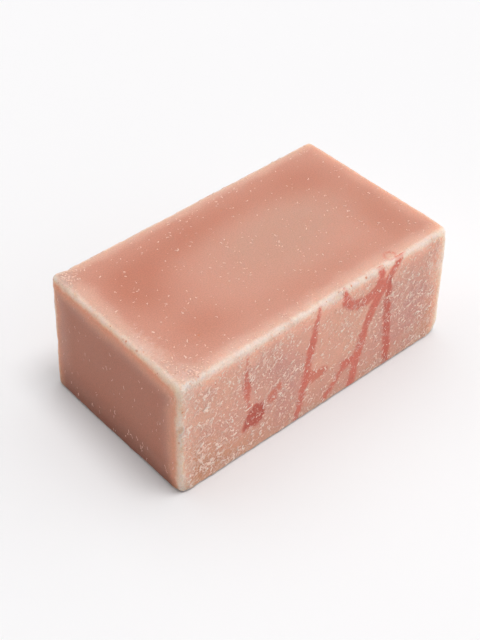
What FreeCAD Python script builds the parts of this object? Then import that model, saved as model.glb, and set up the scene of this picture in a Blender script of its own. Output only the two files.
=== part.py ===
import FreeCAD, Part
import Sketcher
import math
import os

# A bar of hand-made soap: one casting, cut from a loaf and rounded along its edges by handling.
# The bar lies flat. +X runs along its length, -Y is the long cut face with the veins,
# +Z is up, and the origin is the middle of the underside.

doc = FreeCAD.newDocument("BarOfSoap")

# Driving sizes in millimetres and degrees. The cut ends aren't quite square to the bar:
# a skew turns an end in plan, and a lean tips its top inwards.
SIZES = [
    ("bar_length", 82.0, "front bottom edge, corner to corner"),
    ("bar_width", 47.0, "front face to back face"),
    ("bar_height", 32.4, "underside to top"),
    ("left_skew", 1.3, "left end, turned in plan"),
    ("left_lean", 1.7, "left end, tipped inwards"),
    ("right_skew", 0.5, "right end, turned in plan"),
    ("right_lean", 0.3, "right end, tipped inwards"),
    ("edge_radius", 1.6, "worn rounding of the upright corners and the top"),
    ("foot_radius", 0.9, "rounding round the underside"),
    ("nick_radius", 1.3, "hollow of a nick in an edge"),
    ("back_nick_depth", 0.42, "nick in the back edge of the top"),
    ("back_nick_place", 4.3, "from the left back corner"),
    ("left_nick_depth", 0.22, "nick in the left edge of the top"),
    ("left_nick_place", 8.6, "from the left back corner"),
    ("corner_nick_depth", 0.2, "nick in the upright corner at the front left"),
    ("corner_nick_place", 20.5, "from the underside"),
]

sheet = doc.addObject("Spreadsheet::Sheet", "Sizes")
for row, (alias, value, note) in enumerate(SIZES, start=1):
    sheet.set(f"A{row}", alias.replace("_", " "))
    sheet.set(f"B{row}", str(value))
    sheet.set(f"C{row}", note)
    sheet.setAlias(f"B{row}", alias)
doc.recompute()

bar = doc.addObject("PartDesign::Body", "SoapBar")
bar.Label = "soap_bar"


def origin_plane(body, role):
    for plane in body.Origin.OriginFeatures:
        if plane.Role == role:
            return plane
    raise RuntimeError(f"no origin plane called {role}")


def face_at(shape, direction):
    """Name of the face whose middle lies furthest along a direction."""
    reach = [face.CenterOfMass.dot(direction) for face in shape.Faces]
    return f"Face{reach.index(max(reach)) + 1}"


def edges_where(shape, test):
    return [f"Edge{i}" for i, edge in enumerate(shape.Edges, start=1) if test(edge)]


def is_upright(edge):
    rise = edge.BoundBox.ZLength
    return rise > edge.Length / 2


LEVEL_WITHIN = 1e-4


def lies_at(height):
    def test(edge):
        box = edge.BoundBox
        return abs(box.ZMin - height) < LEVEL_WITHIN and abs(box.ZMax - height) < LEVEL_WITHIN
    return test


UP = FreeCAD.Vector(0, 0, 1)
LEFT = FreeCAD.Vector(-1, 0, 0)
RIGHT = FreeCAD.Vector(1, 0, 0)

# Outline of the underside, corner by corner from the front left
outline = bar.newObject("Sketcher::SketchObject", "UndersideOutline")
outline.AttachmentSupport = (origin_plane(bar, "XY_Plane"), [""])
outline.MapMode = "FlatFace"

half_length = sheet.bar_length / 2
half_width = sheet.bar_width / 2
front_left = FreeCAD.Vector(-half_length, -half_width, 0)
front_right = FreeCAD.Vector(half_length, -half_width, 0)
back_right = FreeCAD.Vector(
    half_length - sheet.bar_width * math.tan(math.radians(sheet.right_skew)), half_width, 0)
back_left = FreeCAD.Vector(
    -half_length + sheet.bar_width * math.tan(math.radians(sheet.left_skew)), half_width, 0)
corners = [front_left, front_right, back_right, back_left]
for start, end in zip(corners, corners[1:] + corners[:1]):
    outline.addGeometry(Part.LineSegment(start, end), False)

# The sketch's own codes for its lines, the two ends of a line, its two axes and its origin
FRONT, RIGHT_END, BACK, LEFT_END = range(4)
START, END = range(1, 3)
X_AXIS, Y_AXIS = range(-1, -3, -1)
ORIGIN = (X_AXIS, START)
for side in range(4):
    outline.addConstraint(Sketcher.Constraint("Coincident", side, END, (side + 1) % 4, START))
outline.addConstraint(Sketcher.Constraint("Horizontal", BACK))
outline.addConstraint(Sketcher.Constraint("Symmetric", FRONT, START, FRONT, END, Y_AXIS))


def drive(constraint, name, expression):
    index = outline.addConstraint(constraint)
    outline.renameConstraint(index, name)
    outline.setExpression(f"Constraints.{name}", expression)


drive(Sketcher.Constraint("DistanceX", FRONT, START, FRONT, END, sheet.bar_length),
      "length", "Sizes.bar_length")
drive(Sketcher.Constraint("DistanceY", FRONT, START, *ORIGIN, half_width),
      "front_offset", "Sizes.bar_width / 2")
drive(Sketcher.Constraint("DistanceY", FRONT, END, RIGHT_END, END, sheet.bar_width),
      "width", "Sizes.bar_width")
drive(Sketcher.Constraint("Angle", FRONT, START, LEFT_END, END,
                          math.radians(90 - sheet.left_skew)),
      "left_corner", "(90 - Sizes.left_skew) * 1 deg")
drive(Sketcher.Constraint("Angle", RIGHT_END, START, FRONT, END,
                          math.radians(90 - sheet.right_skew)),
      "right_corner", "(90 - Sizes.right_skew) * 1 deg")
doc.recompute()

block = bar.newObject("PartDesign::Pad", "CutBlock")
block.Profile = outline
block.setExpression("Length", "Sizes.bar_height")
doc.recompute()


# Each end is cut out of upright, about its bottom edge
def lean_end(name, base, side, alias):
    lean = bar.newObject("PartDesign::Draft", name)
    lean.Base = (base, [face_at(base.Shape, side)])
    lean.NeutralPlane = (base, [face_at(base.Shape, -UP)])
    lean.setExpression("Angle", f"Sizes.{alias}")
    doc.recompute()
    return lean


left_cut = lean_end("LeftEndLean", block, LEFT, "left_lean")
right_cut = lean_end("RightEndLean", left_cut, RIGHT, "right_lean")


def round_edges(name, base, edges, alias):
    rounding = bar.newObject("PartDesign::Fillet", name)
    rounding.Base = (base, edges)
    rounding.setExpression("Radius", f"Sizes.{alias}")
    doc.recompute()
    return rounding


upright_edges = edges_where(right_cut.Shape, is_upright)
top_edges = edges_where(right_cut.Shape, lies_at(sheet.bar_height))
worn_edges = round_edges("WornEdges", right_cut, upright_edges + top_edges, "edge_radius")

foot_edges = edges_where(worn_edges.Shape, lies_at(0.0))
worn_foot = round_edges("WornFoot", worn_edges, foot_edges, "foot_radius")

# Nicks are shallow hollows in three worn edges. Each is bitten out by a ball whose middle stands
# off the edge along its diagonal, so that it reaches just its own depth under the rounding.
ROUNDING_DROP = 1 - math.sqrt(0.5)
DIAGONAL = math.sqrt(0.5)


def nick(name, depth, along, across, upward):
    """Bites out a hollow. The last three say where its middle lies, with {off} for its stand-off."""
    stand_off = (f"((Sizes.nick_radius - Sizes.{depth}) * {DIAGONAL:.6f}"
                 f" - Sizes.edge_radius * {ROUNDING_DROP:.6f})")
    hollow = bar.newObject("PartDesign::SubtractiveSphere", name)
    hollow.setExpression("Radius", "Sizes.nick_radius")
    hollow.setExpression("Placement.Base.x", along.format(off=stand_off))
    hollow.setExpression("Placement.Base.y", across.format(off=stand_off))
    hollow.setExpression("Placement.Base.z", upward.format(off=stand_off))
    volume_before = bar.Shape.Volume
    doc.recompute()
    if bar.Shape.Volume >= volume_before:
        raise RuntimeError(f"{name} takes nothing away")
    return hollow


LEFT_TOP = "-Sizes.bar_length / 2 + Sizes.bar_height * tan(Sizes.left_lean * 1 deg)"
LEFT_FACE = "-Sizes.bar_length / 2"
SKEW = "tan(Sizes.left_skew * 1 deg)"

nick("BackEdgeNick", "back_nick_depth",
     f"{LEFT_TOP} + Sizes.bar_width * {SKEW} + Sizes.back_nick_place",
     "Sizes.bar_width / 2 + {off}",
     "Sizes.bar_height + {off}")
nick("LeftEdgeNick", "left_nick_depth",
     f"{LEFT_TOP} + (Sizes.bar_width - Sizes.left_nick_place) * {SKEW} - {{off}}",
     "Sizes.bar_width / 2 - Sizes.left_nick_place",
     "Sizes.bar_height + {off}")
nick("FrontCornerNick", "corner_nick_depth",
     f"{LEFT_FACE} + Sizes.corner_nick_place * tan(Sizes.left_lean * 1 deg) - {{off}}",
     "-Sizes.bar_width / 2 - {off}",
     "Sizes.corner_nick_place")

doc.recompute()

for item in doc.Objects:
    if "Invalid" in item.State or "Error" in item.State:
        raise RuntimeError(f"{item.Name} failed: {item.State}")

shape = bar.Shape
if shape.isNull() or not shape.isValid() or len(shape.Solids) != 1:
    raise RuntimeError(f"{bar.Label} isn't one sound solid")

os.makedirs("parts", exist_ok=True)
shape.exportStep(f"parts/{bar.Label}.step")
box = shape.optimalBoundingBox(False)
print(f"{bar.Label}: {shape.Volume / 1000:.2f} cm3, "
      f"{box.XLength:.2f} x {box.YLength:.2f} x {box.ZLength:.2f} mm")
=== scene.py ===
import math

import bpy
import numpy as np
from mathutils import Matrix, Vector


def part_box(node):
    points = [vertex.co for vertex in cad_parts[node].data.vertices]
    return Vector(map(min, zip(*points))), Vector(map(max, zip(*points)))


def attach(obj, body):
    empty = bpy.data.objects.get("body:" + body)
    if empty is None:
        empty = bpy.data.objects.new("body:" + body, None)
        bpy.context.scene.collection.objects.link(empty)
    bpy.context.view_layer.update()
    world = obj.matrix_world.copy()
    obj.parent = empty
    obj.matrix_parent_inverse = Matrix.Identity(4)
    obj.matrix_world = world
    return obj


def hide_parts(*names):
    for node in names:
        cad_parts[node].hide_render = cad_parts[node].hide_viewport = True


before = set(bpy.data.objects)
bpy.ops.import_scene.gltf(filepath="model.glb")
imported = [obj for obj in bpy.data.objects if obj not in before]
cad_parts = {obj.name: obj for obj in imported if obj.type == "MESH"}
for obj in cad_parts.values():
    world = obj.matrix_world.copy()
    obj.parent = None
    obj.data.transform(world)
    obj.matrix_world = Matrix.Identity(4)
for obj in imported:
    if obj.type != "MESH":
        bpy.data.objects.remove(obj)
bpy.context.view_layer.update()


# The bar's form: one casting of cold-process soap, poured in a loaf mould and cut with a wire.
# Its long front and back are wire-cut faces, its top and ends are smooth, and weeks of drying
# and handling have worn every edge round. It lies on its underside.
mm = 0.001
box_low, box_high = (np.array(corner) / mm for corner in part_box("soap_bar"))
bar_size = box_high - box_low

# The solid's own roundings, and how its ends are turned in plan and tipped inwards
edge_radius = 1.6
foot_radius = 0.9
left_skew, left_lean = np.radians([1.3, 1.7])
right_skew, right_lean = np.radians([0.5, 0.3])

# The surface is drawn on a lattice: the gap between its lines on the flats along each axis
line_spacing = (0.42, 0.5, 0.34)
lines_per_rounding = 4
flat_foot_lines = 1


def lattice_lines(size, low_radius, high_radius, spacing):
    """Places of the surface lines along one axis, from the bar's middle, turning evenly at both ends."""
    turn = np.tan(np.radians(45) * np.linspace(0, 1, lines_per_rounding + 1))
    first, last = low_radius - size / 2, size / 2 - high_radius
    flat = np.linspace(first, last, round((last - first) / spacing) + 1)
    return np.concatenate([first - low_radius * turn[:0:-1], flat, last + high_radius * turn[1:]])


def surface_of_box(lines):
    """Points on the outside of a box lattice, and its four-sided faces with their fronts outwards."""
    grid = np.stack(np.meshgrid(*lines, indexing="ij"), -1)
    outside = np.zeros(grid.shape[:3], bool)
    for axis in range(3):
        side = np.moveaxis(outside, axis, 0)
        side[[0, -1]] = True
    index = np.full(outside.shape, -1)
    index[outside] = np.arange(outside.sum())
    faces = []
    for axis in range(3):
        sheets = np.moveaxis(index, axis, 0)
        for sheet, outward in ((sheets[0], axis == 1), (sheets[-1], axis != 1)):
            corners = [sheet[:-1, :-1], sheet[1:, :-1], sheet[1:, 1:], sheet[:-1, 1:]]
            faces.append(np.stack(corners if outward else corners[::-1], -1).reshape(-1, 4))
    return grid[outside], np.concatenate(faces)


def worn_box(point, size):
    """Carries a sharp box's surface onto the worn one. Gives the places and the outward directions."""
    half = size / 2
    height_radius = np.where(point[:, 2] > 0, edge_radius, foot_radius)
    inner_low = -half + [edge_radius, edge_radius, foot_radius]
    inner = np.clip(point, inner_low, half - edge_radius)
    plan = (point[:, :2] - inner[:, :2]) / edge_radius
    rise = (point[:, 2] - inner[:, 2]) / height_radius
    reach = np.abs(plan).max(1)
    turn = np.arctan(reach) / np.radians(45)
    flat_turn = np.where(point[:, 2] > 0, 0, flat_foot_lines / lines_per_rounding)
    past_flat = np.clip((turn - flat_turn) / (1 - flat_turn), 0, 1)
    on_cap = np.abs(rise) > 1 - 1e-9
    slope = np.where(on_cap, np.radians(90 - 45 * past_flat), np.arctan(np.abs(rise)))
    flat_reach = (edge_radius - height_radius) * np.clip(turn / np.maximum(flat_turn, 1e-9), 0, 1)
    offset = np.where(reach > 0, flat_reach + height_radius * np.cos(slope), 0)
    heading = plan / np.maximum(np.hypot(*plan.T), 1e-9)[:, None]
    place = inner.copy()
    place[:, :2] += heading * offset[:, None]
    place[:, 2] += np.sign(rise) * height_radius * np.sin(slope)
    facing = np.column_stack([heading * np.cos(slope)[:, None], np.sign(rise) * np.sin(slope)])
    return place, facing / np.linalg.norm(facing, axis=1)[:, None]


corner_radii = ((edge_radius, edge_radius), (edge_radius, edge_radius), (foot_radius, edge_radius))
lines = [
    lattice_lines(size, *radii, spacing)
    for size, radii, spacing in zip(bar_size, corner_radii, line_spacing)
]
sharp, bar_faces = surface_of_box(lines)
square, facing = worn_box(sharp, bar_size)
square += [0, 0, bar_size[2] / 2]

# The ends aren't cut quite square: each is turned in plan and tips inwards at its top
from_left = 0.5 + square[:, 0] / bar_size[0]
from_front = square[:, 1] + bar_size[1] / 2
height = square[:, 2]
left_in = from_front * math.tan(left_skew) + height * math.tan(left_lean)
right_in = from_front * math.tan(right_skew) + height * math.tan(right_lean)
surface = square.copy()
surface[:, 0] += left_in * (1 - from_left) - right_in * from_left
reach_low, reach_high = surface.min(0), surface.max(0)
surface = box_low + (surface - reach_low) * bar_size / (reach_high - reach_low)


# The bar's skin: drying and the cutting wire leave it uneven. The cut faces are crinkled in short
# slanting ridges, the smooth faces only swell a little, and the edges are wavy, pitted and nicked.
noise_table = np.random.default_rng(11).uniform(-1, 1, 8192)


def rough_field(points, cell, seed):
    """Smooth noise from -1 to 1 over points in millimetres, changing over about one cell."""
    scaled = points / np.asarray(cell, float)
    base = np.floor(scaled).astype(np.int64)
    part = scaled - base
    ease = part * part * (3 - 2 * part)
    total = np.zeros(len(points))
    for step in np.ndindex(2, 2, 2):
        key = (base + step) * (73856093, 19349663, 83492791)
        mixed = key[:, 0] ^ key[:, 1] ^ key[:, 2] ^ (seed * 2654435761)
        weight = np.where(step, ease, 1 - ease).prod(1)
        total += weight * noise_table[mixed % len(noise_table)]
    return total


def fade(value, start, end):
    """0 at start and 1 at end, easing in and out."""
    share = np.clip((value - start) / (end - start), 0, 1)
    return share * share * (3 - 2 * share)


half_size = bar_size / 2
from_faces = half_size - np.abs(square - [0, 0, half_size[2]])
rim_mm = np.sort(from_faces, axis=1)[:, 1]
cut_face = fade(np.abs(facing[:, 1]), 0.45, 0.85)
top_face = fade(facing[:, 2], 0.6, 0.95)
ridge = 1 - fade(np.abs(facing).max(1), 0.75, 0.99)

# Slanting directions on the cut faces: along the wire's drag, across it, and into the bar
slant = np.radians(52)
slanted = np.column_stack([
    square[:, 0] * math.cos(slant) + height * math.sin(slant),
    height * math.cos(slant) - square[:, 0] * math.sin(slant),
    square[:, 1],
])

# Where the crinkle and the ash that sits on it are thickest: low at the left, and at the right
crinkle = 0.45 + 0.4 * rough_field(square, 6.0, 1)
crinkle += 0.5 * fade(from_left, 0.22, 0.02) + 0.1 * fade(from_left, 0.35, 0.1) * fade(height, 16, 4)
crinkle += 0.25 * fade(from_left, 0.8, 0.95) + 0.25 * fade(height, 5, 1)
crinkle = np.clip(crinkle, 0.05, 1.3) * cut_face

swell = 0.05 * rough_field(square, 11.0, 2) + 0.025 * rough_field(square, 4.0, 3)
drag = 0.085 * rough_field(slanted, (1.9, 0.75, 4.0), 4)
drag += 0.05 * rough_field(slanted, (1.1, 0.9, 2.0), 5)
wave = 0.06 * rough_field(square, 5.0, 6) + 0.05 * rough_field(square, 1.7, 7)
wave += 0.03 * rough_field(square, 0.9, 8)
back_wave = 0.11 * rough_field(square, 2.2, 15) * fade(square[:, 1], half_size[1] - 2, half_size[1])
end_wave = 0.16 * rough_field(square, 3.1, 9) * fade(from_left, 0.03, 0.0)
lift = swell + drag * crinkle + (wave + back_wave + end_wave) * ridge

# The front left corner was handled least: its edges are crisper, and the end swells out beside
# it. The end swells at its foot too, towards the back.
near_left = fade(from_left, 0.06, 0.0)
off_foot = fade(height, 1.0, 7.0)
front_crest = fade(from_front, 3.0, 1.0) * fade(height, bar_size[2] - 3.0, bar_size[2] - 1.0)
end_swell = 0.5 * off_foot * fade(from_front, 22.0, 0.0)
end_swell += 0.35 * fade(height, 16.0, 0.0) * fade(from_front, 10.0, 38.0)
lift += ridge * np.maximum(0.22 * near_left * off_foot, 0.16 * front_crest)
lift += end_swell * near_left * fade(-facing[:, 0], 0.0, 0.7)

# Three corners are worn rounder than the rest: where each lies, and how much of it is gone
worn_corners = (
    (-half_size[0], -half_size[1], 0.0, 0.3),
    (half_size[0], -half_size[1], 0.0, 0.45),
    (half_size[0], -half_size[1], bar_size[2], 0.3),
)
for *corner, worn_by in worn_corners:
    lift -= worn_by * fade(np.linalg.norm(square - corner, axis=1), 3.5, 1.0)

# Lumps of ash stand proud round the left back corner of the top
ash_corner = np.array([-half_size[0] + 2.0, half_size[1] - 1.5, bar_size[2]])
near_corner = fade(np.linalg.norm(square - ash_corner, axis=1), 7.0, 2.0)
lift += near_corner * (0.08 + 0.13 * rough_field(square, 1.1, 10))

# Pits in the worn edges, thickest round the left end: from corner to corner, and how many
pit_radii = (0.22, 0.42)
pit_depths = (0.03, 0.14)
pit_seed = np.random.default_rng(5)
pit_depth = np.zeros(len(square))
edge_runs = (
    ((-1, -1, 0), (-1, -1, 1), 13),
    ((-1, -1, 1), (-1, 1, 1), 15),
    ((-1, -1, 1), (1, -1, 1), 22),
    ((-1, 1, 1), (1, 1, 1), 9),
    ((1, -1, 0), (1, -1, 1), 4),
)
to_corner = np.array([half_size[0], half_size[1], bar_size[2]])
for start, end, count in edge_runs:
    start = np.array(start) * to_corner
    end = np.array(end) * to_corner
    along = pit_seed.uniform(0.02, 0.98, count)
    inwards = -np.sign(start + end - [0, 0, bar_size[2]]) * (start == end)
    for share in along:
        centre = start + share * (end - start) + inwards * edge_radius * pit_seed.uniform(0.2, 0.6, 3)
        radius = pit_seed.uniform(*pit_radii)
        dent = np.exp(-np.sum((square - centre) ** 2, axis=1) / radius ** 2)
        pit_depth = np.maximum(pit_depth, dent * pit_seed.uniform(*pit_depths))

# Three pits stand alone, two in the top and one in the front
lone_pit_radius = 0.3
lone_pit_depth = 0.13
lone_pits = ((45.5, 39.7, 32.4), (13.3, 10.2, 32.4), (43.5, 0.0, 20.4))
for along, across, up in lone_pits:
    centre = np.array([along - half_size[0], across - half_size[1], up])
    dent = np.exp(-np.sum((square - centre) ** 2, axis=1) / lone_pit_radius ** 2)
    pit_depth = np.maximum(pit_depth, lone_pit_depth * dent)
lift -= pit_depth
surface += facing * lift[:, None]

# Nicks bitten out of three edges, where the solid has them: the place on the sharp edge, the way
# out of the bar there, and the depth
nick_radius = 1.3
bar_width = 47.0
back_nick_from_left = 4.3
left_nick_from_back = 8.6
corner_nick_height = 20.5
rounding_drop = edge_radius * (1 - math.sqrt(0.5))
left_top = -half_size[0] + bar_size[2] * math.tan(left_lean)
back_left_top = left_top + bar_width * math.tan(left_skew)
left_edge_there = left_top + (bar_width - left_nick_from_back) * math.tan(left_skew)
upright_there = -half_size[0] + corner_nick_height * math.tan(left_lean)
nicks = (
    ((back_left_top + back_nick_from_left, half_size[1], bar_size[2]), (0, 1, 1), 0.42),
    ((left_edge_there, half_size[1] - left_nick_from_back, bar_size[2]), (-1, 0, 1), 0.22),
    ((upright_there, -half_size[1], corner_nick_height), (-1, -1, 0), 0.2),
)
for edge_place, outwards, depth in nicks:
    stand_off = (nick_radius - depth) * math.sqrt(0.5) - rounding_drop
    centre = np.array(edge_place) + np.array(outwards) * stand_off
    away = surface - centre
    distance = np.linalg.norm(away, axis=1)
    bitten = distance < nick_radius
    surface[bitten] = centre + away[bitten] / distance[bitten, None] * nick_radius

# Nothing reaches below the surface the bar lies on
surface[:, 2] = np.maximum(surface[:, 2], 0)


# The veins: a brick red clay batter poured through the pink one before it set, so they are part
# of the casting and flush with the cut. Each is a pour line with its width, from the bottom left
# corner of the face, in millimetres: along, up, width.
vein_pours = (
    ((18.6, 30.6, 0.4), (18.5, 26.4, 0.6), (18.4, 23.6, 1.3), (18.9, 20.8, 2.7), (19.0, 17.4, 1.1),
     (19.5, 13.8, 0.9)),
    ((40.0, 31.2, 1.0), (39.0, 26.0, 1.8), (38.0, 20.6, 2.6), (37.2, 15.8, 2.1), (35.8, 8.0, 2.2),
     (33.8, 0.2, 1.7)),
    ((47.9, 31.6, 1.4), (48.2, 28.6, 2.7), (50.2, 26.3, 2.9), (53.2, 25.3, 2.9), (56.4, 25.5, 3.1),
     (58.8, 27.0, 2.8), (59.6, 29.3, 2.2), (59.3, 31.4, 2.1)),
    ((66.9, 32.8, 1.5), (64.6, 31.1, 2.1), (62.5, 28.6, 2.3), (60.2, 25.8, 2.9), (57.6, 22.0, 2.9),
     (55.8, 18.4, 2.7), (54.3, 13.4, 2.8), (53.2, 9.6, 2.8), (52.6, 6.0, 2.4), (51.5, 1.2, 2.7)),
    ((53.4, 10.2, 1.8), (50.9, 9.0, 2.3), (48.6, 8.0, 2.0), (47.2, 6.2, 1.6), (45.3, 4.2, 1.6),
     (43.9, 2.8, 1.9), (42.8, 1.6, 1.4)),
    ((62.7, 28.0, 1.3), (62.1, 22.0, 2.1), (62.2, 17.6, 2.3), (62.7, 11.4, 2.5), (63.1, 6.2, 2.5),
     (63.4, 0.4, 2.0)),
)
last_strand = vein_pours[5:]
vein_pools = (
    ((17.2, 7.6), (17.9, 10.2), (18.7, 12.2), (20.2, 14.0), (22.2, 14.5), (24.2, 13.3), (24.4, 10.4),
     (24.1, 8.2), (21.8, 7.5), (19.6, 7.8)),
    ((47.6, 9.6), (49.4, 10.5), (51.6, 9.6), (48.6, 7.7)),
)
first_pool = vein_pools[:1]
pale_pools = (
    ((24.4, 12.6), (24.9, 14.6), (26.9, 15.8), (29.7, 16.8), (29.5, 14.2), (28.2, 12.2), (26.0, 11.2)),
    ((37.4, 15.4), (39.7, 12.7), (43.7, 12.6), (43.9, 10.7), (42.2, 9.6), (36.8, 9.4), (35.5, 10.2)),
)

# The hidden back is the other cut through the loaf, with veins of its own
back_pours = (
    ((9.0, 31.8, 0.8), (10.6, 24.0, 1.5), (10.0, 15.5, 2.0), (12.4, 7.0, 1.4), (12.0, 0.4, 1.8)),
    ((21.0, 32.2, 1.6), (24.5, 27.0, 1.9), (29.5, 25.6, 1.7), (33.0, 29.0, 1.2), (35.0, 32.3, 1.0)),
    ((30.0, 25.5, 1.8), (31.2, 17.5, 2.2), (33.4, 9.0, 1.5), (33.0, 0.3, 1.9)),
    ((50.5, 31.5, 0.7), (49.0, 22.0, 1.6), (51.5, 13.0, 2.1), (50.6, 5.0, 1.2), (52.0, 0.5, 1.4)),
    ((68.0, 32.0, 1.1), (66.4, 23.5, 1.8), (68.8, 14.0, 1.3), (67.0, 7.5, 0.9)),
)
back_pools = (
    ((52.0, 13.5), (56.5, 15.0), (58.0, 11.0), (55.0, 8.5), (51.8, 9.5)),
)

no_vein_near = 50.0


def rounded_line(points, times=3):
    """Cuts the corners off a pour line, so that it bends as a poured ribbon does."""
    points = np.array(points)
    for _ in range(times):
        near = points[:-1] * 0.75 + points[1:] * 0.25
        far = points[:-1] * 0.25 + points[1:] * 0.75
        inner = np.stack([near, far], 1).reshape(-1, points.shape[1])
        points = np.concatenate([points[:1], inner, points[-1:]])
    return points


def to_pours(place, pours):
    """Distance in millimetres from the edge of the nearest pour, less than 0 inside it."""
    nearest = np.full(len(place), no_vein_near)
    for pour in pours:
        line = rounded_line(pour)
        for first, last in zip(line, line[1:]):
            span = last[:2] - first[:2]
            share = np.clip((place - first[:2]) @ span / (span @ span), 0, 1)
            gap = np.linalg.norm(place - first[:2] - share[:, None] * span, axis=1)
            half_width = (first[2] + share * (last[2] - first[2])) / 2
            nearest = np.minimum(nearest, gap - half_width)
    return nearest


def to_pools(place, pools):
    """Distance in millimetres from the rim of the nearest pool, less than 0 inside it."""
    nearest = np.full(len(place), no_vein_near)
    for pool in pools:
        rim = np.array(pool)
        for _ in range(2):
            following = np.roll(rim, -1, axis=0)
            pairs = [rim * 0.75 + following * 0.25, rim * 0.25 + following * 0.75]
            rim = np.stack(pairs, 1).reshape(-1, 2)
        gap = np.full(len(place), no_vein_near)
        inside = np.zeros(len(place), bool)
        for first, last in zip(rim, np.roll(rim, -1, axis=0)):
            span = last - first
            away = place - first
            share = np.clip(away @ span / (span @ span), 0, 1)
            gap = np.minimum(gap, np.linalg.norm(away - share[:, None] * span, axis=1))
            crosses = (first[1] > place[:, 1]) != (last[1] > place[:, 1])
            rise = np.where(span[1] == 0, 1e-9, span[1])
            inside ^= crosses & (away[:, 0] < span[0] * away[:, 1] / rise)
        nearest = np.minimum(nearest, np.where(inside, -gap, gap))
    return nearest


is_front = facing[:, 1] < -0.3
is_back = facing[:, 1] > 0.3
front_place = np.column_stack([square[:, 0] + half_size[0], height])
back_place = np.column_stack([half_size[0] - square[:, 0], height])
vein_mm = np.full(len(square), no_vein_near)
pale_vein_mm = np.full(len(square), no_vein_near)
vein_mm[is_front] = np.minimum(
    to_pours(front_place[is_front], vein_pours), to_pools(front_place[is_front], vein_pools))
pale_vein_mm[is_front] = to_pools(front_place[is_front], pale_pools)

# The clay settled darkest in the first pool, and a little in the last strand
settled_pools = to_pools(front_place[is_front], first_pool)
settled_pours = to_pours(front_place[is_front], last_strand)
settled = np.zeros(len(square))
settled[is_front] = np.maximum(fade(settled_pools, 0.3, -0.5), 0.45 * fade(settled_pours, 0.3, -0.5))

# A vein comes up through the top as a faint ring
ring_centre = np.array([63.8, 1.9])
ring_radius = 1.4
ring_half_width = 0.25
is_top = facing[:, 2] > 0.8
from_ring = np.linalg.norm(np.column_stack([front_place[:, 0], from_front]) - ring_centre, axis=1)
pale_vein_mm[is_top] = np.abs(from_ring[is_top] - ring_radius) - ring_half_width

vein_mm[is_back] = to_pours(back_place[is_back], back_pours)
pale_vein_mm[is_back] = to_pools(back_place[is_back], back_pools)


# The colour of the casting, before any vein or ash: salmon pink clay soap, deeper in a broad band
# inside the rim where it stayed wet longest, painted paler and greyer in the middle as a sheen,
# greyer and more mauve on the cut faces. Each patch is along, across, reach along, reach across
# and strength, from the middle of the top and from the bottom left corner of the front.
top_deep_patches = (
    (-28.0, 7.5, 9.0, 12.0, 1.0),
    (-12.0, 13.0, 14.0, 6.0, 0.75),
    (8.0, 15.0, 16.0, 5.5, 0.6),
    (27.0, 11.0, 10.0, 8.0, 0.7),
    (33.0, -8.0, 5.5, 13.0, 0.7),
    (-25.0, -12.0, 9.0, 6.0, 0.6),
    (6.0, -15.5, 22.0, 4.0, 0.35),
)
# Painted sheen: where the middle of the top is painted paler and greyer, standing in for the light's
# reflection
top_sheen_patches = (
    (9.0, -2.0, 17.0, 10.0, 1.0),
    (2.0, 3.0, 10.0, 7.0, 0.5),
    (18.0, 4.0, 10.0, 6.0, 0.4),
)
front_mauve_patches = (
    (13.0, 12.0, 9.0, 9.0, 0.4),
    (31.0, 9.0, 8.0, 11.0, 0.7),
    (26.0, 22.0, 10.0, 8.0, 0.6),
    (50.0, 6.0, 9.0, 7.0, 0.5),
    (60.0, 16.0, 4.0, 12.0, 0.5),
    (71.0, 14.0, 9.0, 14.0, 0.9),
)

# The cut front again: where flakes of ash gather, and where the clay is rusty
flake_patches = (
    (7.0, 22.5, 3.5, 4.0, 0.8),
    (10.0, 26.0, 3.0, 3.0, 0.5),
    (5.0, 19.0, 2.5, 3.0, 0.5),
    (13.5, 14.5, 2.5, 3.0, 0.7),
    (11.0, 11.5, 3.0, 3.0, 0.7),
    (24.0, 18.0, 2.5, 2.0, 0.5),
    (17.0, 3.5, 3.0, 1.5, 0.4),
)
rusty_patches = (
    (3.0, 5.0, 9.0, 8.0, 0.7),
    (14.0, 3.0, 10.0, 4.0, 0.4),
    (79.0, 6.0, 4.0, 8.0, 0.5),
)


def patch_field(along, across, patches):
    total = np.zeros(len(along))
    for middle, up, reach_along, reach_across, strength in patches:
        squared = ((along - middle) / reach_along) ** 2 + ((across - up) / reach_across) ** 2
        total += strength * np.exp(-squared)
    return np.clip(total, 0, 1)


drift = 1.6 * rough_field(square, 9.0, 12)
deep = patch_field(square[:, 0] + drift, square[:, 1] + drift, top_deep_patches)
dusty = patch_field(square[:, 0] + drift, square[:, 1] - drift, top_sheen_patches)
mauve = patch_field(front_place[:, 0] + drift, height + drift, front_mauve_patches)
mauve_back = np.clip(0.5 + 0.9 * rough_field(square, 13.0, 13), 0, 1)
inside_end = fade(rim_mm, 1.5, 8.0)
underside = fade(-facing[:, 2], 0.6, 0.95)
end_face = fade(np.abs(facing[:, 0]), 0.6, 0.95)
deep = deep * top_face + 0.5 * inside_end * underside
dusty = dusty * top_face
mauve = np.where(facing[:, 1] < 0, mauve, mauve_back) * cut_face + inside_end * end_face

# Ash gathers on the crinkled cut, in the left back corner of the top and along its rims
top_ash = 0.07 + 0.5 * fade(rim_mm, 6.0, 2.0) * fade(from_left, 0.35, 0.0)
top_ash += 0.22 * fade(rim_mm, 4.0, 1.5) + 0.9 * near_corner
end_ash = 0.04 + 0.16 * fade(height, 10, 2) + 0.7 * near_corner
ash = crinkle * 0.85 + top_ash * top_face + end_ash * end_face + 0.35 * ridge
ash = np.clip(ash * (0.75 + 0.5 * rough_field(square, 3.5, 14)), 0.01, 1.2)
ash *= 1 - underside

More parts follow.
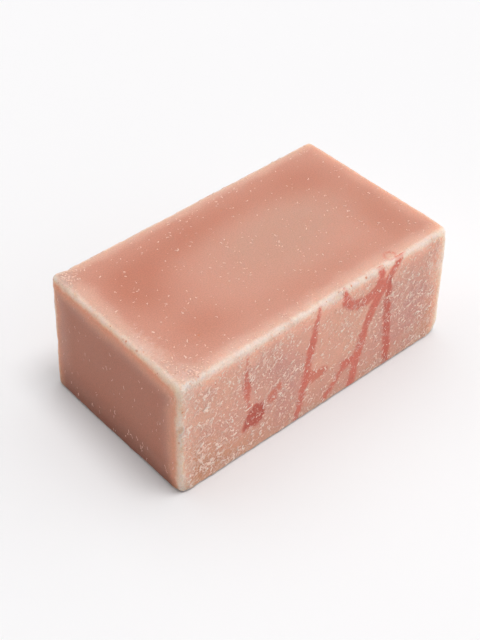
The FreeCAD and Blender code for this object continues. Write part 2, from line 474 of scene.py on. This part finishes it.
# How thickly ash ridges, flakes and specks stand on the cut faces, bloom on the top and
# scratches on the ends, against the thickest part
front_corner = np.array([-half_size[0] + 3.0, -half_size[1] + 2.5, bar_size[2]])
clumps = fade(rough_field(square, 2.4, 16) + 0.5 * rough_field(square, 1.1, 17), -0.3, 0.7)
near_front_corner = fade(np.linalg.norm(square - front_corner, axis=1), 8.0, 3.0)
ridge_share = (0.2 * cut_face + 0.7 * crinkle ** 1.3) * (0.5 + 0.7 * clumps) * (1 - 0.85 * ridge)
speck_share = 0.5 * cut_face * (0.7 + 0.5 * clumps) + 0.25 * ridge * fade(np.abs(facing[:, 0]), 0.5, 0.1)
bloom_share = 0.06 + 0.2 * clumps + 0.3 * fade(rim_mm, 8.0, 2.0) * clumps
bloom_share = top_face * (bloom_share + 1.7 * near_corner + 1.4 * near_front_corner)
flake_share = 0.05 + 0.95 * patch_field(front_place[:, 0], height, flake_patches)
flake_share *= cut_face * (facing[:, 1] < 0) * (1 - ridge) * (0.4 + 0.8 * clumps)
scratch_share = end_face * (0.3 + 0.9 * fade(height, 14, 3) * clumps + 0.5 * clumps)

# None stands against the floor or along the rubbed right end, and little of it on the veins
unrubbed = fade(height, 0.7, 1.6)
unrubbed *= fade(half_size[0] - square[:, 0], 0.8, 5.0)
ridge_share *= unrubbed * (1 - 0.75 * fade(vein_mm, 0.4, -0.4))
speck_share *= unrubbed * (1 - 0.6 * fade(vein_mm, 0.4, -0.4))
flake_share *= unrubbed * (1 - 0.8 * fade(vein_mm, 0.8, 0.0))
scratch_share *= unrubbed * (1 - ridge)

# How far each edge has paled: pale ash over the crest, lightened further by painted glow, and a
# painted warm glow beside it, both standing in for light passing through the thin edge. For each:
# its two faces, how pale its crest is, how far that reaches over the first face and over the second,
# and the painted warm glow beside it with its reach
worn_edges = (
    ("top", "front", 1.0, 2.2, 3.0, 0.85, 7.0),
    ("top", "left", 1.0, 1.9, 2.4, 0.75, 8.0),
    ("top", "back", 0.75, 1.9, 1.9, 0.8, 5.5),
    ("top", "right", 0.1, 1.5, 1.6, 0.6, 6.5),
    ("left", "front", 1.0, 2.3, 1.3, 0.7, 7.0),
    ("front", "right", 1.0, 4.2, 1.5, 0.95, 7.5),
    ("left", "back", 1.0, 2.2, 1.6, 0.6, 5.0),
    ("back", "right", 0.55, 1.4, 1.4, 0.6, 4.0),
    ("front", "foot", 0.1, 1.2, 1.2, 0.25, 3.0),
    ("back", "foot", 0.1, 1.2, 1.2, 0.25, 3.0),
)
depth_under = {
    "left": square[:, 0] + half_size[0],
    "right": half_size[0] - square[:, 0],
    "front": from_front,
    "back": bar_size[1] - from_front,
    "foot": height,
    "top": bar_size[2] - height,
}
top_bloom_patches = (
    (-39.5, -9.0, 4.0, 9.0, 0.8),
    (-38.5, -20.5, 4.0, 3.0, 0.5),
    (-26.0, -22.5, 9.0, 2.5, 0.6),
    (-38.5, 20.5, 3.0, 3.0, 0.4),
    (6.0, -22.5, 26.0, 2.2, 0.6),
)
cream = 0.55 * patch_field(square[:, 0] + drift, square[:, 1] + drift, top_bloom_patches) * top_face
glow = cream * 1.6
uneven = 1 + (0.2 + 0.15 * cut_face) * rough_field(square, 4.5, 18)
for first, second, crest, first_reach, second_reach, warmth, warm_reach in worn_edges:
    over_first, over_second = depth_under[second] * uneven, depth_under[first] * uneven
    to_crest = np.maximum(over_first / first_reach, over_second / second_reach)
    cream = np.maximum(cream, crest * fade(to_crest, 1.0, 0.12))
    glow = np.maximum(glow, warmth * fade(np.maximum(over_first, over_second), warm_reach, 0.8))

# The front left top corner has paled all round. The ends, and a little the cut faces, are painted
# darker towards the foot as shade. The clay is rusty in places on the front. The rims facing left,
# and those near the right end, take a warmer painted glow and shaded copies of the cream, by how
# the light falls there.
left_corner = np.array([-half_size[0], -half_size[1], bar_size[2]])
cream = np.maximum(cream, 0.5 * fade(np.linalg.norm(square - left_corner, axis=1), 10.0, 2.0))
# Painted shade: darker towards the foot on the ends, and a little on the cut faces
damp = end_face * fade(height, 11.0, 1.0) + 0.16 * cut_face * fade(height, 16.0, 1.0)
rusty = cut_face * patch_field(front_place[:, 0] + drift, height + drift, rusty_patches)
rusty = np.where(facing[:, 1] < 0, rusty, 0)
# Painted light: the rims facing left, and near the right end, take a warmer glow and shaded copies of
# the cream, by how the light falls on them
ember = fade(-facing[:, 0], 0.2, 0.8) + (0.25 + 0.25 * cut_face) * fade(depth_under["right"], 9.0, 1.5)

bar_mesh = bpy.data.meshes.new("veined_bar")
bar_mesh.vertices.add(len(surface))
bar_mesh.vertices.foreach_set("co", (surface * mm).ravel())
bar_mesh.loops.add(bar_faces.size)
bar_mesh.loops.foreach_set("vertex_index", bar_faces.ravel())
bar_mesh.polygons.add(len(bar_faces))
bar_mesh.polygons.foreach_set("loop_start", np.arange(0, bar_faces.size, 4))
bar_mesh.update(calc_edges=True)
bar_mesh.shade_smooth()
skin_fields = {
    "cream": cream,
    "glow": glow,
    "ember": ember,
    "damp": damp,
    "rusty": rusty,
    "cut_face": cut_face,
    "ridge": ridge,
    "vein_mm": vein_mm,
    "pale_vein_mm": pale_vein_mm,
    "settled": settled,
    "deep": deep,
    "dusty": dusty,
    "mauve": mauve,
    "ash": ash,
    "ridge_share": ridge_share,
    "speck_share": speck_share,
    "bloom_share": bloom_share,
    "flake_share": flake_share,
    "scratch_share": scratch_share,
    "crinkle": crinkle,
    "pit": pit_depth,
}
for field, values in skin_fields.items():
    bar_mesh.attributes.new(field, "FLOAT", "POINT").data.foreach_set("value", values)
veined_bar = bpy.data.objects.new("veined_bar", bar_mesh)
bpy.context.collection.objects.link(veined_bar)


# The soap's finish: satin where it is smooth, drier and matt on the cut faces. Light goes a few
# millimetres into it, so the thin edges glow. The veins' edges bleed a little raggedly,
# and a crust of ash ridges and dots lies on the cut faces, too fine to model.
def colour(red, green, blue):
    """A colour as seen on a screen, from 0 to 255, turned into the light that it stands for."""
    parts = [
        part / 12.92 if part <= 0.04045 else ((part + 0.055) / 1.055) ** 2.4
        for part in (red / 255, green / 255, blue / 255)
    ]
    return (*parts, 1.0)


def put(tree, kind, inputs=None, **settings):
    """A new node. Each input is a number, a colour or the output that feeds it."""
    node = tree.nodes.new(kind)
    for name, value in settings.items():
        setattr(node, name, value)
    for name, value in (inputs or {}).items():
        if isinstance(value, bpy.types.NodeSocket):
            tree.links.new(value, node.inputs[name])
        else:
            node.inputs[name].default_value = value
    return node


def work(tree, operation, first, second=0.0, third=0.0, clamp=False):
    numbers = {0: first, 1: second, 2: third}
    return put(tree, "ShaderNodeMath", numbers, operation=operation, use_clamp=clamp).outputs[0]


def ease(tree, value, start, end, low=0.0, high=1.0):
    """low at start and high at end, easing in and out."""
    inputs = {"Value": value, "From Min": start, "From Max": end, "To Min": low, "To Max": high}
    node = put(tree, "ShaderNodeMapRange", inputs, interpolation_type="SMOOTHSTEP")
    return node.outputs["Result"]


def tint(tree, share, under, over, blend="MIX"):
    node = put(tree, "ShaderNodeMix", {0: share, 6: under, 7: over}, data_type="RGBA", blend_type=blend)
    return node.outputs[2]


def field(tree, name):
    return put(tree, "ShaderNodeAttribute", attribute_name=name).outputs["Fac"]


def grain(tree, place, cell_mm, detail=2.0, roughness=0.55, distortion=0.0):
    """Noise about 0.5 that changes over about one cell."""
    inputs = {"Vector": place, "Scale": 1 / (cell_mm * mm), "Detail": detail,
              "Roughness": roughness, "Distortion": distortion}
    return put(tree, "ShaderNodeTexNoise", inputs).outputs["Fac"]


def dots(tree, place, cell_mm, radius, keep):
    """Round specks, one in each kept cell. The radius and the share kept are parts of a cell."""
    inputs = {"Vector": place, "Scale": 1 / (cell_mm * mm), "Randomness": 1.0}
    cells = put(tree, "ShaderNodeTexVoronoi", inputs)
    kept = work(tree, "LESS_THAN", put(tree, "ShaderNodeSeparateColor",
                                       {"Color": cells.outputs["Color"]}).outputs[0], keep)
    spot = ease(tree, cells.outputs["Distance"], radius, radius * 0.55)
    return work(tree, "MULTIPLY", spot, kept)


salmon = colour(215, 155, 135)
deep_salmon = colour(198, 127, 104)
painted_sheen_pink = colour(208, 156, 136)
end_salmon = colour(199, 128, 103)
peach = colour(236, 175, 151)
mauve_grey = colour(218, 155, 141)
cream_rim = colour(244, 218, 206)
# Shaded copies of the cream, for the crests on the rims facing left and near the right end
dim_cream = colour(255, 216, 200)
shaded_end_cream = colour(255, 212, 186)
# Painted glow beside the rims, standing in for light passing through the thin edges
painted_glow_smooth = colour(232, 187, 167)
painted_glow_cut = colour(252, 193, 168)
painted_end_glow = colour(248, 175, 138)
# The tone of the painted shade towards the foot
foot_shade_tone = colour(174, 108, 86)
vein_red = colour(216, 112, 95)
pale_vein_red = colour(220, 125, 105)
vein_streak = colour(227, 132, 113)
deep_vein_red = colour(188, 86, 70)
rust_salmon = colour(226, 156, 122)
ash_white = colour(255, 233, 219)
ash_pink = colour(252, 206, 185)
pit_orange = colour(216, 128, 84)
pit_red = colour(180, 92, 66)
pale_bounce = colour(186, 170, 165)

refraction = 1.46
glow_reach = 6.0 * mm
relief_height = 0.18 * mm

soap_colour = bpy.data.node_groups.new("soap_colour", "ShaderNodeTree")
soap_colour.interface.new_socket("Colour", in_out="OUTPUT", socket_type="NodeSocketColor")


def build_soap_colour(tree):
    place = put(tree, "ShaderNodeTexCoord").outputs["Object"]
    cut, edge, cream = field(tree, "cut_face"), field(tree, "ridge"), field(tree, "cream")
    cloud = grain(tree, place, 5.0, detail=3.0)
    fine = grain(tree, place, 0.8, detail=3.0, roughness=0.65)
    speck = grain(tree, place, 0.3, detail=1.0)

    smooth_face = tint(tree, field(tree, "deep"), salmon, deep_salmon)
    # Painted sheen, paler and greyer, in the middle of the top
    smooth_face = tint(tree, field(tree, "dusty"), smooth_face, painted_sheen_pink)
    smooth_face = tint(tree, field(tree, "mauve"), smooth_face, end_salmon)
    wander = work(tree, "MULTIPLY_ADD", cloud, 1.2, -0.6)
    greyness = work(tree, "ADD", field(tree, "mauve"), wander, clamp=True)
    cut_colour = tint(tree, greyness, peach, mauve_grey)
    cut_colour = tint(tree, field(tree, "rusty"), cut_colour, rust_salmon)
    skin = tint(tree, cut, smooth_face, cut_colour)

    # The edges dried first, to cream over the crest, a little ragged. Beside them lies a painted warm
    # glow, standing in for light passing through the thin edges.
    ragged = work(tree, "SUBTRACT", grain(tree, place, 1.3, detail=3.5, roughness=0.65), 0.5)
    glow = work(tree, "ADD", field(tree, "glow"), work(tree, "MULTIPLY", ragged, 0.2))
    glow_tone = tint(tree, cut, painted_glow_smooth, painted_glow_cut)
    glow_tone = tint(tree, field(tree, "ember"), glow_tone, painted_end_glow)
    # Painted shade, darker towards the foot
    skin = tint(tree, field(tree, "damp"), skin, foot_shade_tone)
    skin = tint(tree, ease(tree, glow, 0.1, 1.0), skin, glow_tone)
    crest = work(tree, "ADD", cream, work(tree, "MULTIPLY", ragged, 0.85))
    # On the rims facing left and near the right end, the crest takes painted shaded copies of the cream
    dim_crest = tint(tree, ease(tree, crest, 0.45, 1.0), shaded_end_cream, dim_cream)
    crest_tone = tint(tree, field(tree, "ember"), cream_rim, dim_crest)
    skin = tint(tree, ease(tree, crest, 0.1, 1.05, 0.0, 0.95), skin, crest_tone)
    marks = work(tree, "MULTIPLY", dots(tree, place, 1.3, 0.17, 0.3), ease(tree, cream, 0.2, 0.5))
    skin = tint(tree, work(tree, "MULTIPLY", marks, 0.7), skin, pit_orange)

    # The veins bleed into the soap at their edges, wear off on the crests and are grainy within
    bleed = work(tree, "MULTIPLY_ADD", grain(tree, place, 1.5, detail=2.5), 1.3, -0.65)
    pale_edge = work(tree, "ADD", field(tree, "pale_vein_mm"), bleed)
    pale_vein = ease(tree, pale_edge, 0.4, -0.6)
    vein_edge = work(tree, "ADD", field(tree, "vein_mm"), bleed)
    vein = ease(tree, vein_edge, 0.55, -0.55)
    worn_off = work(tree, "MULTIPLY", vein, ease(tree, edge, 0.9, 0.3, 0.55, 1.0))
    patchy = work(tree, "MULTIPLY", worn_off, ease(tree, cloud, 0.2, 0.6, 0.86, 1.0))
    patchy = work(tree, "MULTIPLY", patchy, ease(tree, fine, 0.3, 0.55, 0.8, 1.0))
    vein_tone = tint(tree, ease(tree, fine, 0.45, 0.75), vein_red, vein_streak)
    vein_tone = tint(tree, work(tree, "MULTIPLY", field(tree, "settled"), 0.8), vein_tone, deep_vein_red)
    skin = tint(tree, work(tree, "MULTIPLY", pale_vein, 0.88), skin, pale_vein_red)
    skin = tint(tree, patchy, skin, vein_tone)

    red_dots = work(tree, "MULTIPLY", dots(tree, place, 1.4, 0.17, 0.22), cut)
    skin = tint(tree, work(tree, "MULTIPLY", red_dots, 0.6), skin, pit_red)
    mottle = ease(tree, speck, 0.3, 0.7, 0.92, 1.07)
    skin = tint(tree, 1.0, skin, mottle, blend="MULTIPLY")
    out = put(tree, "NodeGroupOutput")
    tree.links.new(skin, out.inputs["Colour"])


build_soap_colour(soap_colour)


def crust_strokes(tree, place):
    """Ridges of ash on the cut faces: short curling strokes that lean along the wire's drag."""
    leaning = put(tree, "ShaderNodeMapping", {
        "Vector": place, "Rotation": (0, -slant, 0), "Scale": (1.5, 1.0, 0.8),
    }, vector_type="TEXTURE").outputs[0]
    thickness = field(tree, "crinkle")
    strokes = []
    for cell_mm, half_width, gap_mm, bare in ((1.9, 0.05, 1.5, 0.66), (1.1, 0.055, 1.0, 0.68)):
        curl = grain(tree, leaning, cell_mm, detail=1.5, distortion=1.3)
        from_line = work(tree, "ABSOLUTE", work(tree, "SUBTRACT", curl, 0.5))
        stroke = ease(tree, from_line, half_width, half_width * 0.4)
        start = work(tree, "SUBTRACT", bare, work(tree, "MULTIPLY", thickness, 0.24))
        patch = work(tree, "SUBTRACT", grain(tree, place, gap_mm, detail=1.5), start)
        strokes.append(work(tree, "MULTIPLY", stroke, ease(tree, patch, 0.0, 0.07)))
    return work(tree, "MAXIMUM", *strokes)


def soap_finish():
    material = bpy.data.materials.new("veined_soap")
    material.use_nodes = True
    tree = material.node_tree
    shader = tree.nodes["Principled BSDF"]
    place = put(tree, "ShaderNodeTexCoord").outputs["Object"]
    group = put(tree, "ShaderNodeGroup", node_tree=soap_colour)
    ash_here = field(tree, "ash")

    strokes = work(tree, "MULTIPLY", crust_strokes(tree, place), field(tree, "cut_face"))
    specks = work(tree, "MULTIPLY", dots(tree, place, 1.1, 0.24, 0.3), ease(tree, ash_here, 0.0, 0.6))
    crust = work(tree, "MAXIMUM", strokes, specks)
    skin = tint(tree, work(tree, "MULTIPLY", crust, 0.4), group.outputs["Colour"], ash_white)

    pit = ease(tree, field(tree, "pit"), 0.02, 0.09)
    skin = tint(tree, work(tree, "MULTIPLY", pit, 0.8), skin, pit_orange)

    # Light that the bar throws on the white sheet is paler than the bar itself
    bounced = put(tree, "ShaderNodeLightPath").outputs["Is Diffuse Ray"]
    skin = tint(tree, work(tree, "MULTIPLY", bounced, 0.7), skin, pale_bounce)
    tree.links.new(skin, shader.inputs["Base Color"])

    fine = grain(tree, place, 0.35, detail=3.0)
    roughness = ease(tree, field(tree, "cut_face"), 0.0, 1.0, 0.46, 0.62)
    roughness = work(tree, "ADD", roughness, ease(tree, fine, 0.3, 0.7, -0.05, 0.07))
    roughness = work(tree, "ADD", roughness, work(tree, "MULTIPLY", crust, 0.15))
    tree.links.new(roughness, shader.inputs["Roughness"])

    rough_skin = work(tree, "MULTIPLY", fine, ease(tree, field(tree, "cut_face"), 0.0, 1.0, 0.12, 0.5))
    relief = work(tree, "ADD", work(tree, "MULTIPLY", crust, 0.6), rough_skin)
    bump = put(tree, "ShaderNodeBump", {"Height": relief, "Strength": 1.0, "Distance": relief_height})
    tree.links.new(bump.outputs[0], shader.inputs["Normal"])

    thin = ease(tree, field(tree, "glow"), 0.1, 0.9)
    tree.links.new(ease(tree, thin, 0.0, 1.0, 0.5, 1.0), shader.inputs["Subsurface Weight"])
    reach = tint(tree, thin, (1.0, 0.45, 0.3, 1.0), (1.0, 0.75, 0.55, 1.0))
    tree.links.new(reach, shader.inputs["Subsurface Radius"])
    shader.inputs["Subsurface Scale"].default_value = glow_reach
    shader.inputs["IOR"].default_value = refraction
    shader.inputs["Specular IOR Level"].default_value = 0.3
    return material


bar_mesh.materials.append(soap_finish())
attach(veined_bar, "root")
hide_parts("soap_bar")


# The ash: a white bloom that stands on the skin of the same casting, in short curling ridges and
# flakes that lean along the wire's drag on the cut faces, and in small specks all over. Each is a
# little flattened worm, half sunk in the soap and crumpled with its neighbours.
ash_tree = bpy.data.node_groups.new("strewn_ash", "GeometryNodeTree")
ash_inputs = (
    ("Bar", "NodeSocketGeometry"),
    ("Share", "NodeSocketString"),
    ("Per Square Millimetre", "NodeSocketFloat"),
    ("Length", "NodeSocketFloat"),
    ("Width", "NodeSocketFloat"),
    ("Turn", "NodeSocketFloat"),
    ("Whitest", "NodeSocketFloat"),
    ("Seed", "NodeSocketInt"),
    ("Finish", "NodeSocketMaterial"),
)
worm_bends = ((0.45, 0.40), (-0.60, -0.25), (0.55, -0.60), (1.00, 0.75), (-0.20, 0.35), (-0.9, 0.3))
worm_steps = 6
worm_sides = 5
flattening = 0.36


def chance(tree, low, high, seed, kind="FLOAT"):
    first, out = {"FLOAT": (2, 1), "INT": (4, 2)}[kind]
    inputs = {first: low, first + 1: high, "Seed": seed}
    return put(tree, "FunctionNodeRandomValue", inputs, data_type=kind).outputs[out]


def worm_shapes(tree):
    """A worm for each bend, 1 mm long and thinner at its ends, as instances to pick from."""
    along = put(tree, "GeometryNodeSplineParameter").outputs["Factor"]
    bulge = work(tree, "MULTIPLY", along, work(tree, "SUBTRACT", 1.0, along))
    bulge = work(tree, "MULTIPLY", bulge, 4.0)
    girth = work(tree, "ADD", work(tree, "POWER", bulge, 0.5), 0.12)
    ring = put(tree, "GeometryNodeCurvePrimitiveCircle", {"Resolution": worm_sides, "Radius": 0.15 * mm})
    shapes = put(tree, "GeometryNodeJoinGeometry")
    for near_bend, far_bend in worm_bends:
        line = put(tree, "GeometryNodeCurvePrimitiveBezierSegment", {
            "Resolution": 3 * worm_steps,
            "Start": (-0.5 * mm, 0, 0),
            "Start Handle": (-0.2 * mm, near_bend * mm, 0),
            "End Handle": (0.2 * mm, far_bend * mm, 0),
            "End": (0.5 * mm, 0, 0),
        })
        even = put(tree, "GeometryNodeResampleCurve", {
            "Curve": line.outputs["Curve"],
            "Count": worm_steps + 1,
        })
        worm = put(tree, "GeometryNodeCurveToMesh", {
            "Curve": even.outputs["Curve"],
            "Profile Curve": ring.outputs["Curve"],
            "Scale": girth,
            "Fill Caps": True,
        })
        flat = put(tree, "GeometryNodeTransform", {
            "Geometry": worm.outputs["Mesh"],
            "Scale": (1.0, 1.0, flattening),
        })
        lone = put(tree, "GeometryNodeGeometryToInstance", {"Geometry": flat.outputs["Geometry"]})
        tree.links.new(lone.outputs["Instances"], shapes.inputs["Geometry"])
    return shapes.outputs["Geometry"]


def vector_work(tree, operation, first, second):
    node = put(tree, "ShaderNodeVectorMath", {0: first, 1: second}, operation=operation)
    return node.outputs["Value" if operation == "DOT_PRODUCT" else "Vector"]


crumple_cell = 0.8 * mm
crumple_push = 1.3 * mm


def crumpling(tree):
    """A small push that changes from place to place and stays level with the skin."""
    noise = put(tree, "ShaderNodeTexNoise", {"Scale": 1 / crumple_cell, "Detail": 1.5})
    push = vector_work(tree, "SUBTRACT", noise.outputs["Color"], (0.5, 0.5, 0.5))
    push = vector_work(tree, "MULTIPLY", push, (crumple_push, crumple_push, crumple_push))
    stored = put(tree, "GeometryNodeInputNamedAttribute", {"Name": "outwards"},
                 data_type="FLOAT_VECTOR")
    outwards = stored.outputs["Attribute"]
    rise = vector_work(tree, "DOT_PRODUCT", push, outwards)
    rise = put(tree, "ShaderNodeCombineXYZ", {"X": rise, "Y": rise, "Z": rise}).outputs["Vector"]
    return vector_work(tree, "SUBTRACT", push, vector_work(tree, "MULTIPLY", outwards, rise))


def build_strewn_ash(tree):
    for name, kind in ash_inputs:
        tree.interface.new_socket(name, in_out="INPUT", socket_type=kind)
    tree.interface.new_socket("Ash", in_out="OUTPUT", socket_type="NodeSocketGeometry")
    given = put(tree, "NodeGroupInput").outputs
    seed = given["Seed"]

    share = put(tree, "GeometryNodeInputNamedAttribute", {"Name": given["Share"]}, data_type="FLOAT")
    per_mm = work(tree, "MULTIPLY", share.outputs["Attribute"], given["Per Square Millimetre"])
    points = put(tree, "GeometryNodeDistributePointsOnFaces", {
        "Mesh": given["Bar"],
        "Density": work(tree, "MULTIPLY", per_mm, 1 / mm ** 2),
        "Seed": seed,
    }, distribute_method="RANDOM")

    lean = put(tree, "FunctionNodeAlignRotationToVector", {
        "Rotation": points.outputs["Rotation"],
        "Vector": (math.cos(slant), 0.0, math.sin(slant)),
    }, axis="X", pivot_axis="Z")
    turn = work(tree, "MULTIPLY", given["Turn"], chance(tree, -1.0, 1.0, seed))
    spin = put(tree, "FunctionNodeAxisAngleToRotation", {"Axis": (0.0, 0.0, 1.0), "Angle": turn})
    lie = put(tree, "FunctionNodeRotateRotation", {
        "Rotation": lean.outputs["Rotation"],
        "Rotate By": spin.outputs["Rotation"],
    }, rotation_space="LOCAL")

    growth = work(tree, "MULTIPLY", chance(tree, 0.35, 1.0, work(tree, "ADD", seed, 1.0)),
                  chance(tree, 0.55, 1.0, work(tree, "ADD", seed, 2.0)))
    coarse = work(tree, "MULTIPLY", share.outputs["Attribute"], 0.5, clamp=True)
    width = work(tree, "MULTIPLY", given["Width"], chance(tree, 0.5, 0.9, work(tree, "ADD", seed, 3.0)))
    width = work(tree, "MULTIPLY", width, work(tree, "ADD", coarse, 0.75))
    size = put(tree, "ShaderNodeCombineXYZ", {
        "X": work(tree, "MULTIPLY", growth, given["Length"]), "Y": width, "Z": width,
    })
    facing_out = put(tree, "GeometryNodeStoreNamedAttribute", {
        "Geometry": points.outputs["Points"],
        "Name": "outwards",
        "Value": points.outputs["Normal"],
    }, data_type="FLOAT_VECTOR", domain="POINT")
    strewn = put(tree, "GeometryNodeInstanceOnPoints", {
        "Points": facing_out.outputs["Geometry"],
        "Instance": worm_shapes(tree),
        "Pick Instance": True,
        "Instance Index": chance(tree, 0, len(worm_bends) - 1, work(tree, "ADD", seed, 4.0), kind="INT"),
        "Rotation": lie.outputs["Rotation"],
        "Scale": size.outputs["Vector"],
    })
    toned = put(tree, "GeometryNodeStoreNamedAttribute", {
        "Geometry": strewn.outputs["Instances"],
        "Name": "whiteness",
        "Value": chance(tree, 0.0, given["Whitest"], work(tree, "ADD", seed, 5.0)),
    }, domain="INSTANCE")
    real = put(tree, "GeometryNodeRealizeInstances", {"Geometry": toned.outputs["Geometry"]})
    bent = put(tree, "GeometryNodeSetPosition", {
        "Geometry": real.outputs["Geometry"],
        "Offset": crumpling(tree),
    })
    smooth = put(tree, "GeometryNodeSetShadeSmooth", {"Geometry": bent.outputs["Geometry"]})
    finished = put(tree, "GeometryNodeSetMaterial", {
        "Geometry": smooth.outputs["Geometry"],
        "Material": given["Finish"],
    })
    out = put(tree, "NodeGroupOutput")
    tree.links.new(finished.outputs["Geometry"], out.inputs["Ash"])


build_strewn_ash(ash_tree)


def ash_finish():
    material = bpy.data.materials.new("ash")
    material.use_nodes = True
    tree = material.node_tree
    shader = tree.nodes["Principled BSDF"]
    tone = tint(tree, field(tree, "whiteness"), ash_pink, ash_white)
    tree.links.new(tone, shader.inputs["Base Color"])
    shader.inputs["Roughness"].default_value = 0.45
    shader.inputs["IOR"].default_value = refraction
    return material


ash_crust = ash_finish()


def strew_ash(name, **choices):
    """Strews ash over the bar by the named inputs of the tree, and keeps it as a piece of its own."""
    strewer = veined_bar.modifiers.new("strewn_ash", "NODES")
    strewer.node_group = ash_tree
    for item in ash_tree.interface.items_tree:
        choice = item.name.replace(" ", "_").lower()
        if choice in choices:
            strewer[item.identifier] = choices[choice]
    depsgraph = bpy.context.evaluated_depsgraph_get()
    mesh = bpy.data.meshes.new_from_object(veined_bar.evaluated_get(depsgraph), depsgraph=depsgraph)
    mesh.name = name
    veined_bar.modifiers.remove(strewer)
    piece = bpy.data.objects.new(name, mesh)
    bpy.context.collection.objects.link(piece)
    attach(piece, "root")


strew_ash("ash_ridges", share="ridge_share", per_square_millimetre=0.9, length=1.9, width=1.45,
          turn=math.radians(48), whitest=1.0, seed=3, finish=ash_crust)
strew_ash("ash_flakes", share="flake_share", per_square_millimetre=0.45, length=1.9, width=2.9,
          turn=math.radians(60), whitest=1.0, seed=58, finish=ash_crust)
strew_ash("ash_specks", share="speck_share", per_square_millimetre=0.85, length=0.85, width=1.1,
          turn=math.radians(180), whitest=1.0, seed=21, finish=ash_crust)
strew_ash("top_bloom", share="bloom_share", per_square_millimetre=1.0, length=0.8, width=0.95,
          turn=math.radians(180), whitest=0.4, seed=34, finish=ash_crust)
strew_ash("end_scratches", share="scratch_share", per_square_millimetre=0.17, length=1.3, width=0.6,
          turn=math.radians(14), whitest=0.1, seed=47, finish=ash_crust)


# The surface the bar lies on: a plain sheet of white paper, lit softly from above and by a room
# that is brighter at the right and the front. The room itself is seen as plain white, by the
# camera and in whatever mirrors it or lets it through.
paper_white = colour(250, 249, 250)
sheet_reach = 1.5


def plain_finish(name, tone):
    material = bpy.data.materials.new(name)
    material.use_nodes = True
    shader = material.node_tree.nodes["Principled BSDF"]
    shader.inputs["Base Color"].default_value = tone
    shader.inputs["Roughness"].default_value = 0.9
    shader.inputs["Specular IOR Level"].default_value = 0.1
    return material


floor_mesh = bpy.data.meshes.new("pale_sheet")
floor_corners = [(-sheet_reach, -sheet_reach, 0), (sheet_reach, -sheet_reach, 0),
                 (sheet_reach, sheet_reach, 0), (-sheet_reach, sheet_reach, 0)]
floor_mesh.from_pydata(floor_corners, [], [(0, 1, 2, 3)])
floor_mesh.materials.append(plain_finish("paper", paper_white))
floor = bpy.data.objects.new("pale_sheet", floor_mesh)
bpy.context.collection.objects.link(floor)

room_level = 0.266
room_slope = (0.722, -0.416, 0)
seen_room_level = 0.95
room = bpy.data.worlds.new("room")
bpy.context.scene.world = room
room.use_nodes = True
room_tree = room.node_tree
way = put(room_tree, "ShaderNodeTexCoord").outputs["Generated"]
slope = put(room_tree, "ShaderNodeVectorMath", {0: way, 1: room_slope}, operation="DOT_PRODUCT")
room_light = work(room_tree, "ADD", slope.outputs["Value"], room_level)
room_light = work(room_tree, "MAXIMUM", room_light, 0.0)
rays = put(room_tree, "ShaderNodeLightPath")
seen = work(room_tree, "MAXIMUM", rays.outputs["Is Camera Ray"], rays.outputs["Is Glossy Ray"])
seen = work(room_tree, "MAXIMUM", seen, rays.outputs["Is Transmission Ray"])
room_light = ease(room_tree, seen, 0.0, 1.0, room_light, seen_room_level)
background = room_tree.nodes["Background"]
background.inputs["Color"].default_value = (1.0, 1.0, 1.0, 1.0)
room_tree.links.new(room_light, background.inputs["Strength"])


def soft_light(name, direction, level, spread):
    """A broad soft light from one side, with its level on a sheet that faces it and its spread."""
    lamp = bpy.data.lights.new(name, "SUN")
    lamp.energy = math.pi * level
    lamp.angle = math.radians(spread)
    lamp_object = bpy.data.objects.new(name, lamp)
    lamp_object.rotation_euler = Vector(direction).to_track_quat("Z", "Y").to_euler()
    bpy.context.collection.objects.link(lamp_object)


soft_light("overhead_softbox", (0.157, -0.227, 0.961), 0.34, 21)
soft_light("broad_overhead_light", (-0.063, 0.424, 0.903), 0.38, 73)

# The camera stands at the photograph's angle, a third of a metre from the bar, looking down
azimuth, elevation = np.radians([-41.19, 42.24])
camera_distance = 340.2 * mm
aim_left, aim_up = 2.49 * mm, 8.62 * mm
backwards = Vector((math.sin(azimuth) * math.cos(elevation),
                    -math.cos(azimuth) * math.cos(elevation), math.sin(elevation)))
rightwards = Vector((math.cos(azimuth), math.sin(azimuth), 0))
upwards = backwards.cross(rightwards)
camera = bpy.data.cameras.new("camera")
camera.sensor_width = 36
camera.lens = 78.85
camera.clip_start = 0.01
camera_object = bpy.data.objects.new("camera", camera)
turn = Matrix((rightwards, upwards, backwards)).transposed().to_4x4()
stand = backwards * camera_distance - rightwards * aim_left + upwards * aim_up
camera_object.matrix_world = Matrix.Translation(stand) @ turn
bpy.context.collection.objects.link(camera_object)
bpy.context.scene.camera = camera_object
bpy.context.scene.view_settings.view_transform = "Standard"
